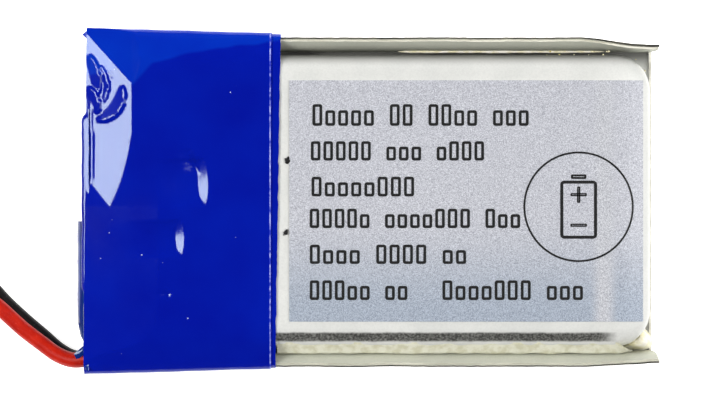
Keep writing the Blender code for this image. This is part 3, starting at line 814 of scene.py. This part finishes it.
def tape_ends(finish, shaded, edge):
    """The free ends of tape at the open end: the folded flap, two rolled lips and four scraps."""
    flap = ((-14.72, 1.99), (-14.86, 1.93), (-15.00, 1.70), (-15.09, 1.42), (-15.122, 1.20), (-15.11, 0.90),
            (-15.08, 0.65), (-15.01, 0.40), (-14.92, 0.20))
    tape_strip("tape_end_flap_sheet", flap, -6.34, -1.05, shaded, edge, ["tape_end_flap"])
    lip = ((-14.50, 2.33), (-14.62, 2.278), (-14.74, 2.225), (-14.82, 2.18), (-14.86, 2.06), (-14.865, 1.95))
    tape_strip("tape_rolled_lip", lip, -5.05, 4.75, finish, edge, pinch=0.8, seed=9.0)
    low_lip = ((-14.48, 2.62), (-14.60, 2.585), (-14.70, 2.53), (-14.74, 2.42), (-14.75, 2.20))
    tape_strip("tape_lower_lip", low_lip, -8.75, -5.10, shaded, edge, pinch=0.4, seed=4.0)
    blade = [(-15.10, -6.30, 1.15), (-14.55, -6.20, 1.9), (-14.66, -7.45, 1.9), (-14.95, -7.00, 1.3)]
    tuck = [(-15.28, -7.93, 1.98), (-14.60, -7.35, 2.12), (-14.60, -7.85, 2.14), (-15.13, -8.22, 1.98)]
    scrap = [(-15.02, -8.33, 1.86), (-14.62, -8.02, 2.05), (-14.60, -8.40, 2.05), (-14.86, -8.48, 1.88)]
    tip = [(-14.86, 8.63, 1.55), (-14.50, 8.90, 1.75), (-14.45, 8.60, 2.05), (-14.53, 8.34, 1.75)]
    for name, corners in (("blade", blade), ("tuck", tuck), ("scrap", scrap), ("tip", tip)):
        tape_patch(f"tape_{name}", corners, shaded, edge)


# ---- label and print

def label_height(x):
    """Height of the label's middle at x: it bends down over the cup's shoulder at the folded end."""
    top = LABEL_HIGH.z - LABEL_HALF
    knee = CUP_RIGHT + LAMINATE / 2 - END_SHOULDER
    reach = clamp((x - knee) / (END_SHOULDER + 0.02), 0.0, 0.995)
    return top - (SHOULDER + 0.02) * (1 - sqrt(1 - reach * reach))


def label_sheet(finish, edge):
    left, right, half = LABEL_LOW.x, LABEL_HIGH.x, LABEL_HIGH.y
    across, along = 120, 84
    points = []
    for i in range(across + 1):
        x = left + (right - left) * i / across
        for j in range(along + 1):
            y = half * (2 * j / along - 1)
            ragged = 0.02 * ripple(x, y, 0.25) if i in (0, across) else 0.0
            worn = 0.015 * ripple(x, y, 0.3, 4.0) if j in (0, along) else 0.0
            z = label_height(x) - 0.006 * (1 + ripple(x, y, 2.5, 8.0))
            points.append((x - abs(ragged) * (1 if i else -1), y - copysign(abs(worn), y), z))
    faces = grid_faces(across + 1, along + 1)
    sheet_piece("label_sheet", points, faces, [finish, edge], ["label"], 2 * LABEL_HALF)


INK_HEIGHT = 0.004  # of the print above the label
STROKE = 0.145


def rounded_bar(width, height, radius, arc=3):
    """A rectangle's outline about its middle, with rounded corners."""
    outline = []
    for corner_x, corner_y, start in ((1, -1, -90), (1, 1, 0), (-1, 1, 90), (-1, -1, 180)):
        x, y = corner_x * (width / 2 - radius), corner_y * (height / 2 - radius)
        outline += [around(x, y, radius, radians(start + 90 * i / arc)) for i in range(arc + 1)]
    return outline


class Print:
    """Ink shapes that lie on the label."""

    def __init__(self):
        self.points, self.faces = [], []

    def ring(self, x, y, outer, inner):
        """The strip between two outlines with as many points, both given about x, y."""
        first, count = len(self.points), len(outer)
        for dx, dy in (*outer, *inner):
            self.points.append((x + dx, y + dy, label_height(x + dx) + LABEL_HALF + INK_HEIGHT))
        self.faces += grid_faces(2, count, closed=True, first=first)

    def box(self, x, y, width, height, line=STROKE, radius=0.12):
        self.ring(x, y, rounded_bar(width, height, radius),
                  rounded_bar(width - 2 * line, height - 2 * line, max(0.01, radius - line)))

    def bar(self, x, y, width, height):
        thin = min(width, height)
        self.ring(x, y, rounded_bar(width, height, 0.3 * thin),
                  rounded_bar(width - 0.9 * thin, height - 0.9 * thin, 0.02 * thin))

    def circle(self, x, y, radius, line=STROKE, steps=72):
        turn = [tau * i / steps for i in range(steps)]
        self.ring(x, y, [around(0, 0, radius, a) for a in turn],
                  [around(0, 0, radius - line, a) for a in turn])


# Lines of print: the middle of the line, its full height, its left and right ends, and its groups.
PRINT_LINES = (
    (4.43, 1.12, -3.00, 8.30, 4),
    (2.58, 1.00, -3.08, 6.00, 3),
    (0.74, 1.02, -3.05, 2.40, 1),
    (-0.90, 1.00, -3.14, 7.86, 3),
    (-2.75, 1.00, -3.14, 5.08, 3),
    (-4.60, 1.02, -3.14, 2.05, 2),
    (-4.60, 1.02, 3.70, 11.10, 2),
)
PITCH = 0.66  # from one mark of a line to the next
SMALL_MARK = 0.72  # height of a small mark beside a tall one


def label_print(ink):
    """Empty boxes in place of words, and a ringed battery outline in place of a symbol."""
    made = Print()
    for row, (middle, height, left, right, groups) in enumerate(PRINT_LINES):
        marks = round((right - left) / PITCH)
        breaks = {round(marks * (k + 0.22 * sin(2.3 * k + row)) / groups) for k in range(1, groups)}
        step = (right - left) / marks
        for k in range(marks):
            if k in breaks:
                continue
            tall = sin(5.7 * k + 2.9 * row) > 0.25 or k == 0
            size = height if tall else height * SMALL_MARK
            made.box(left + step * (k + 0.5), middle - (height - size) / 2, step * 0.76, size)
    middle_x, middle_y = 10.80, -0.30
    made.circle(middle_x, middle_y, 2.85, 0.10)
    made.box(middle_x, middle_y - 0.15, 1.9, 3.0, 0.16, 0.2)
    made.bar(middle_x, middle_y + 1.55, 0.8, 0.24)
    made.bar(middle_x, middle_y + 0.62, 0.85, 0.17)
    made.bar(middle_x, middle_y + 0.62, 0.17, 0.85)
    made.bar(middle_x, middle_y - 0.95, 0.85, 0.17)
    mesh_piece("label_print", made.points, made.faces, ink)


# ---- glue

BEAD_Y, BEAD_Z, BEAD_RADIUS = 7.745, 1.35, 0.10


def glue_bead(name, node, side, start, end, finish):
    """A bead low in the groove between the cup and a folded seal."""
    rings, sides = 120, 10
    points = []
    for i in range(rings):
        t = i / (rings - 1)
        x = start + (end - start) * t
        taper = min(1.0, 12 * t + 0.15, 12 * (1 - t) + 0.15)
        radius = BEAD_RADIUS * (0.75 + 0.35 * ripple(x, side, 0.8)) * taper
        for k in range(sides):
            angle = tau * k / sides
            y = side * BEAD_Y + radius * cos(angle)
            points.append((x, y, BEAD_Z + 1.2 * radius * sin(angle)))
    mesh_piece(name, points, closed_faces(rings, sides), finish, [node], angle=60)


LEDGE_SECTION = ((7.28, 2.69), (7.46, 2.48), (7.62, 2.31), (7.80, 2.21), (7.90, 2.10), (7.86, 1.90),
                 (7.62, 1.80), (7.44, 2.10), (7.30, 2.50))
LEDGE_MIDDLE = 7.78  # the ledge narrows towards this at its far end


def glue_ledge(finish):
    """A fillet of glue along the lower groove, from the cup's shoulder to the folded seal."""
    start, end, rings = -4.75, 13.6, 190
    points = []
    for i in range(rings):
        x = start + (end - start) * i / (rings - 1)
        taper = 0.12 + 0.88 * smoothstep(end, end - 0.9, x)
        for y, z in LEDGE_SECTION:
            y = LEDGE_MIDDLE + (y - LEDGE_MIDDLE) * taper
            points.append((x, -y - 0.05 * ripple(x, y, 0.9), z + 0.04 * ripple(x, z, 0.5, 3.0)))
    faces = closed_faces(rings, len(LEDGE_SECTION))
    mesh_piece("glue_ledge", points, faces, finish, angle=60)


def glue_corner(finish):
    """A mound of glue in the corner between the cup, the folded end and the lower seal."""
    outline = ((12.90, -7.68), (13.35, -7.20), (13.85, -6.90), (14.20, -6.55),
               (14.62, -6.95), (14.74, -7.50), (14.10, -7.80))
    bottom, top, layers = 0.75, 2.02, 7
    count = len(outline)
    middle = Vector((sum(x for x, y in outline) / count, sum(y for x, y in outline) / count))
    edge = smooth_route([(x, y, 0) for x, y in (*outline, outline[0])], 5)[:-1]
    points = []
    for k in range(layers + 1):
        share = 1 - k / (layers + 1)
        for spot in edge:
            x, y = middle.lerp(Vector((spot.x, spot.y)), share)
            rise = (1 - share ** 3) * (top - bottom)
            points.append((x, y, bottom + rise + 0.04 * ripple(x, y, 0.35) * (k > 0)))
    mesh_piece("glue_corner", points, closed_faces(layers + 1, len(edge)), finish, angle=70)


SCATTER = (0.6180339, 0.7548777, 0.5698403)  # steps that spread places evenly


def glue_crumbs(finish):
    """Crumbs of dried glue left along the groove by the upper seal and round the folded corner."""
    points, faces = [], []
    for k in range(26):
        along, size, inwards = ((k * step) % 1.0 for step in SCATTER)
        x = 9.2 + 5.2 * along
        y = 7.55 + 0.225 * sin(2.1 * k)
        radius = 0.025 + 0.035 * size
        in_corner = x > 12.6
        if in_corner:
            y -= 0.35 + 0.5 * inwards
        first = len(points)
        for ring in range(5):
            lift = pi * ring / 4
            for i in range(7):
                angle = tau * i / 7 + ring
                reach = radius * sin(lift) * (1 + 0.3 * sin(3 * angle + k)) + 0.001
                height = 2.05 + 0.9 * radius * cos(lift) - 0.25 * in_corner
                points.append((*around(x, y, reach, angle), height))
        faces += closed_faces(5, 7, first)
    mesh_piece("glue_crumbs", points, faces, finish, angle=80)


def ink_dots(ink):
    """Marks of ink on the foil, beside the tape."""
    spots = ((-4.21, 2.06, 0.15), (-4.17, 2.22, 0.07), (-4.33, 2.17, 0.04), (-4.29, -1.63, 0.12),
             (-4.24, -1.52, 0.06), (-4.40, -1.75, 0.035))
    points, faces = [], []
    for x, y, radius in spots:
        first, steps = len(points), 22
        for share, height in ((1.0, 0.001), (0.92, 0.070), (0.5, 0.084)):
            for i in range(steps):
                angle = tau * i / steps
                ragged = 1 + 0.10 * sin(3 * angle + x * 40) + 0.06 * sin(7 * angle)
                points.append((*around(x, y, share * radius * ragged, angle), CUP_HIGH.z + height))
        faces += closed_faces(3, steps, first)
    mesh_piece("ink_dots", points, faces, ink, angle=80)


# ---- leads

RED_ROUTE = (
    (-13.05, -6.50, 2.02), (-13.35, -7.20, 1.97), (-14.00, -7.86, 1.88), (-14.75, -8.20, 1.70),
    (-15.42, -8.24, 1.54), (-16.19, -7.96, 1.38), (-16.97, -7.41, 1.26), (-18.00, -6.62, 1.20),
    (-19.03, -5.68, 1.19), (-19.60, -5.20, 1.14), (-20.10, -4.74, 1.05), (-20.75, -4.14, 0.84),
    (-21.45, -3.45, 0.60), (-22.30, -2.61, 0.58),
)
BLACK_ROUTE = (
    (-13.05, -6.55, 1.18), (-13.35, -7.08, 1.14), (-14.00, -7.80, 1.05), (-14.75, -8.16, 0.87),
    (-15.42, -8.13, 0.68), (-16.19, -7.72, 0.51), (-16.97, -7.05, 0.42), (-18.00, -6.17, 0.41),
    (-19.03, -5.20, 0.41), (-19.90, -4.20, 0.41), (-20.75, -3.12, 0.41), (-21.50, -2.28, 0.47),
    (-22.20, -1.56, 0.56),
)
RED_TAIL = ((-21.05, -3.20, 2.22), (-21.05, -2.00, 2.20), (-21.20, -0.60, 1.80), (-21.375, 0.80, 1.51),
            (-21.375, 2.20, 1.50))
BLACK_TAIL = ((-22.20, -3.00, 2.22), (-22.30, -1.50, 2.22), (-22.45, -0.50, 2.00), (-22.58, 0.40, 1.62),
              (-22.61, 1.00, 1.51), (-22.625, 2.20, 1.50))
SPAN = 8  # points of a smooth route from one given point to the next


def smooth_route(points, per_span=SPAN):
    """A smooth curve through a route's points."""
    route = [Vector(point) for point in points]
    padded = [route[0] * 2 - route[1], *route, route[-1] * 2 - route[-2]]
    made = []
    for a, b, c, d in zip(padded, padded[1:], padded[2:], padded[3:]):
        for i in range(per_span):
            t = i / per_span
            made.append(0.5 * (2 * b + (c - a) * t + (2 * a - 5 * b + 4 * c - d) * t * t
                               + (3 * b - a - 3 * c + d) * t ** 3))
    made.append(route[-1])
    return made


def coil_turns(inner):
    """Two turns, the upper one on the lower; between them the leads change places as they climb.

    The end is lifted, so it passes over the start of the upper turn on its way to the plug.
    """
    lower = COIL_BOTTOM + LEAD_STEP
    climb = 2 * LEAD_STEP
    side = -1 if inner else 1
    made = []
    for angle in range(COIL_START, 721, 4):
        part = smoothstep(*COIL_CLIMB, angle)
        turn = pi * part
        out = side * LEAD_STEP * cos(turn)
        lift = COIL_LIFT * smoothstep(*COIL_LEAVE, angle) - side * LEAD_STEP * sin(turn)
        place = around(COIL_CENTRE.x, COIL_CENTRE.y, COIL_RADIUS + out, radians(angle))
        made.append(Vector((*place, lower + climb * part + lift)))
    return made


def lead(name, route, tail, inner, nodes, finish):
    """A lead from inside the cell, round the coil and on to the plug."""
    turns = coil_turns(inner)
    start = smooth_route([*route, turns[0], turns[3]])[:len(route) * SPAN]
    end = smooth_route([turns[-4], turns[-1], *tail])[SPAN:]
    points = start + turns[:-1] + end
    data = bpy.data.curves.new(name, "CURVE")
    data.dimensions = "3D"
    data.bevel_depth = LEAD_RADIUS * MM
    data.bevel_resolution = 6
    data.use_fill_caps = True
    line = data.splines.new("POLY")
    line.points.add(len(points) - 1)
    for spot, point in zip(line.points, points):
        spot.co = (*(point * MM), 1.0)
    line.use_smooth = True
    data.materials.append(finish)
    made = link(bpy.data.objects.new(name, data))
    settle(made, nodes)


def leads(red, black):
    lead("red_lead_wire", RED_ROUTE, RED_TAIL, True, ["red_lead", "lead_coil", "red_lead_tail"],
         red)
    lead("black_lead_wire", BLACK_ROUTE, BLACK_TAIL, False, ["black_lead", "lead_coil", "black_lead_tail"],
         black)


# ---- the CAD nodes that stay

BRUSHED = (6, 1, 1)
# Finishes of the CAD nodes that show as they are, as plain_material takes them, and their nodes.
FINISHES = (
    (("nickel", (0.42, 0.41, 0.38), (0.62, 0.60, 0.56), 0.25, 0.34, 1.0, 0.003, BRUSHED),
     ("anode_tab", "weld_plate_positive", "weld_plate_negative", "contact_positive", "contact_negative")),
    (("chip_black", (0.012, 0.012, 0.013), (0.030, 0.030, 0.032), 0.08, 0.5),
     ("mosfet_pair", "protection_chip", "supply_resistor", "sense_resistor")),
    (("polyimide_amber", (0.45, 0.17, 0.02), (0.62, 0.28, 0.04), 1.2, 0.25),
     ("winding_tape", "board_insulator")),
    (("solder", (0.45, 0.45, 0.46), (0.68, 0.68, 0.70), 0.3, 0.28, 1.0, 0.012),
     ("solder_positive", "solder_negative")),
    (("copper_strands", (0.72, 0.30, 0.14), (0.90, 0.46, 0.27), 0.1, 0.3, 1.0, 0.01, (9, 1, 1)),
     ("positive_strands", "negative_strands")),
    (("tab_sealing_film", (0.55, 0.55, 0.50), (0.72, 0.72, 0.66), 0.6, 0.4),
     ("cathode_tab_film", "anode_tab_film")),
    (("separator_film", (0.78, 0.79, 0.80), (0.90, 0.91, 0.92), 0.3, 0.5),
     ("separator_inner", "separator_outer")),
    (("cathode_coating", (0.018, 0.018, 0.020), (0.045, 0.045, 0.048), 0.12, 0.6), ("cathode_sheet",)),
    (("anode_coating", (0.050, 0.052, 0.055), (0.090, 0.092, 0.098), 0.12, 0.55), ("anode_sheet",)),
    (("aluminium_tab", (0.66, 0.66, 0.67), (0.84, 0.84, 0.85), 0.3, 0.3, 1.0, 0.003, BRUSHED),
     ("cathode_tab",)),
    (("board_green", (0.008, 0.085, 0.030), (0.015, 0.140, 0.050), 0.35, 0.35), ("pcm_board",)),
    (("ceramic_tan", (0.42, 0.27, 0.15), (0.56, 0.38, 0.22), 0.15, 0.45), ("filter_capacitor",)),
    (("plug_nylon", (0.74, 0.72, 0.64), (0.86, 0.84, 0.76), 0.5, 0.42), ("connector_housing",)),
    (("tie_paper", (0.62, 0.60, 0.54), (0.80, 0.78, 0.72), 0.3, 0.55), ("lead_tie",)),
)


def finish_nodes():
    for look, names in FINISHES:
        finish = plain_material(*look)
        for name in names:
            data = frame["nodes"][name].data
            data.materials.clear()
            data.materials.append(finish)


# ---- the scene

camera()
leads(lead_material("lead_red", (0.42, 0.006, 0.001), (0.56, 0.014, 0.002), 0.42),
      lead_material("lead_black", (0.003, 0.002, 0.002), (0.009, 0.007, 0.006), 0.45))
floor()
lights()
foil = foil_material()
tape = tape_material()
tape_edge = tape_edge_material()
pouch(foil)
tape_wrap("tape_outer_wrap_sheet", "outer_tape_wrap", -14.68, -5.05, 0.0, tape, tape_edge, 0.092)
tape_wrap("tape_inner_wrap_sheet", "inner_tape_wrap", -14.55, -4.70, 0.07, tape, tape_edge, 0.22)
tape_ends(tape, tape_material("tape_shaded", (0.0, 0.012, 0.13), (0.004, 0.030, 0.22)), tape_edge)
paper = label_material()
label_sheet(paper, foil_edge_material("label_edge", (0.70, 0.70, 0.68), (0.92, 0.92, 0.90)))
ink = ink_material()
label_print(ink)
ink_dots(ink)
glue = glue_material()
glue_bead("glue_bead_upper", "seal_glue_upper", 1, 1.5, 12.2, glue)
glue_bead("glue_bead_lower", "seal_glue_lower", -1, 4.0, 12.2, glue)
glue_ledge(glue_material("glue_film", (0.66, 0.64, 0.46), (0.80, 0.79, 0.64)))
glue_corner(glue)
glue_crumbs(glue_material("glue_crumb", (0.62, 0.50, 0.10), (0.90, 0.84, 0.55)))
finish_nodes()
